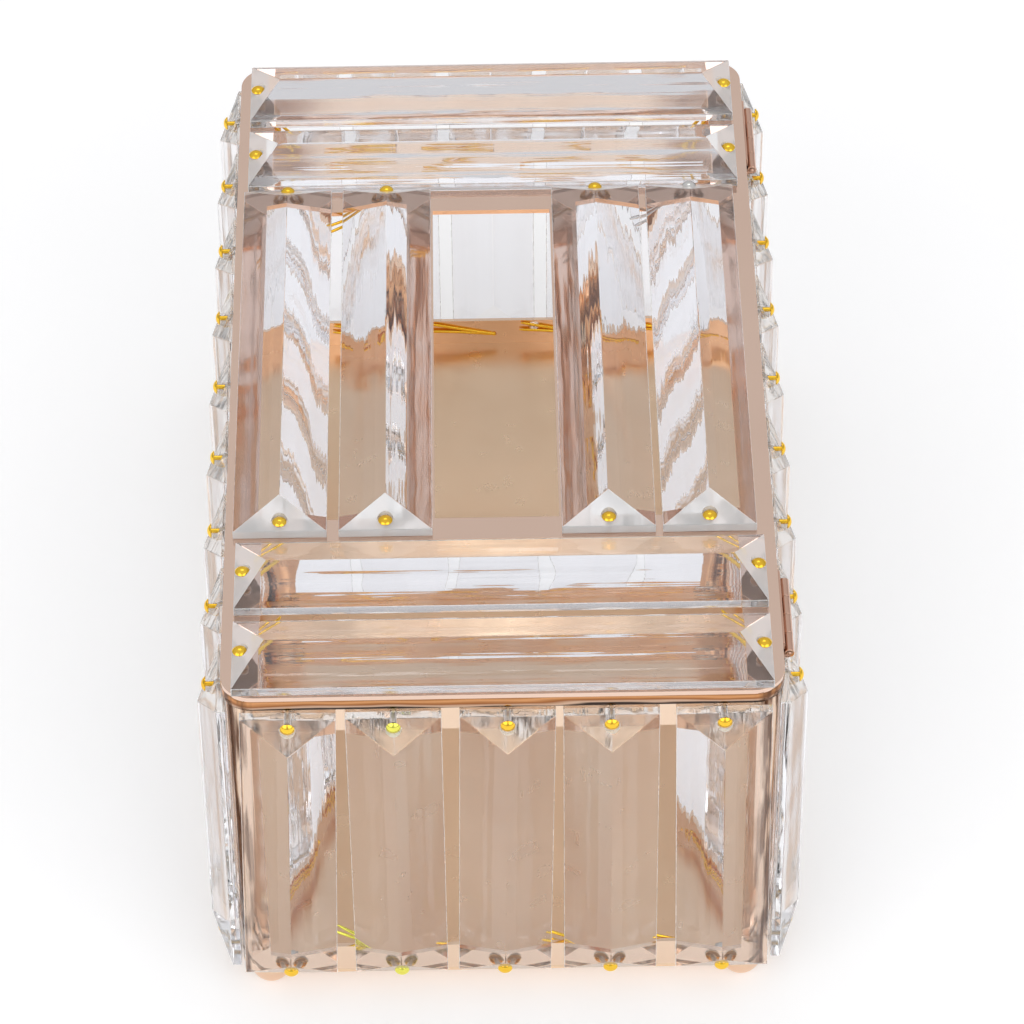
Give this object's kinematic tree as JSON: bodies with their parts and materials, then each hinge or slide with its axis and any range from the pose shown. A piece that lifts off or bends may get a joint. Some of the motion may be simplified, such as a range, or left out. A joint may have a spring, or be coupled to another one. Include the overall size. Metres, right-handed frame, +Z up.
{
  "type": "wedding card box",
  "caption": "Polished gold metal box with hinged lid and card slot; its walls and lid are windows covered by clear crystal prism bars held by domed pins; ball feet.",
  "frame": {"origin": "centre of the footprint at table height, under the ball feet", "axes": "+Z up, +Y along the length towards the back short wall, +X towards the long wall that carries the hinges"},
  "size_m": [0.137, 0.233, 0.1061],
  "materials": {
    "polished_gold": "polished champagne-gold plating",
    "satin_gold": "satin brushed gold plating",
    "crystal": "polished clear crystal with frosted hip facets",
    "pin_brass": "bright yellow gold, polished",
    "hinge_gold": "polished rose-gold plating",
    "foot_gold": "polished gold ball",
    "screw_steel": "zinc-plated"
  },
  "bodies": {
    "body": {"back_crystal_1": "crystal", "back_crystal_2": "crystal", "back_crystal_3": "crystal", "back_crystal_4": "crystal", "back_crystal_5": "crystal", "back_hinge_body_leaf": "hinge_gold", "back_hinge_pin": "hinge_gold", "back_left_foot": "foot_gold", "back_pins": "pin_brass", "back_right_foot": "foot_gold", "body_frame": "polished_gold", "floor_panel": "satin_gold", "foot_screws": "screw_steel", "front_crystal_1": "crystal", "front_crystal_2": "crystal", "front_crystal_3": "crystal", "front_crystal_4": "crystal", "front_crystal_5": "crystal", "front_hinge_body_leaf": "hinge_gold", "front_hinge_pin": "hinge_gold", "front_left_foot": "foot_gold", "front_pins": "pin_brass", "front_right_foot": "foot_gold", "left_crystal_1": "crystal", "left_crystal_2": "crystal", "left_crystal_3": "crystal", "left_crystal_4": "crystal", "left_crystal_5": "crystal", "left_crystal_6": "crystal", "left_crystal_7": "crystal", "left_crystal_8": "crystal", "left_crystal_9": "crystal", "left_pins": "pin_brass", "right_crystal_1": "crystal", "right_crystal_2": "crystal", "right_crystal_3": "crystal", "right_crystal_4": "crystal", "right_crystal_5": "crystal", "right_crystal_6": "crystal", "right_crystal_7": "crystal", "right_crystal_8": "crystal", "right_crystal_9": "crystal", "right_pins": "pin_brass"},
    "lid": {"back_hinge_lid_leaf": "hinge_gold", "front_hinge_lid_leaf": "hinge_gold", "lid_crosswise_crystal_1": "crystal", "lid_crosswise_crystal_2": "crystal", "lid_crosswise_crystal_3": "crystal", "lid_crosswise_crystal_4": "crystal", "lid_lengthwise_crystal_1": "crystal", "lid_lengthwise_crystal_2": "crystal", "lid_lengthwise_crystal_3": "crystal", "lid_lengthwise_crystal_4": "crystal", "lid_pins": "pin_brass", "lid_plate": "polished_gold", "lid_rim": "polished_gold"}
  },
  "joints": [
    {"name": "lid_hinge", "type": "hinge", "parent": "body", "child": "lid", "pos_m": [0.0641, 0, 0.0951], "axis": [0, 1, 0], "range_deg": [0, 110]}
  ]
}
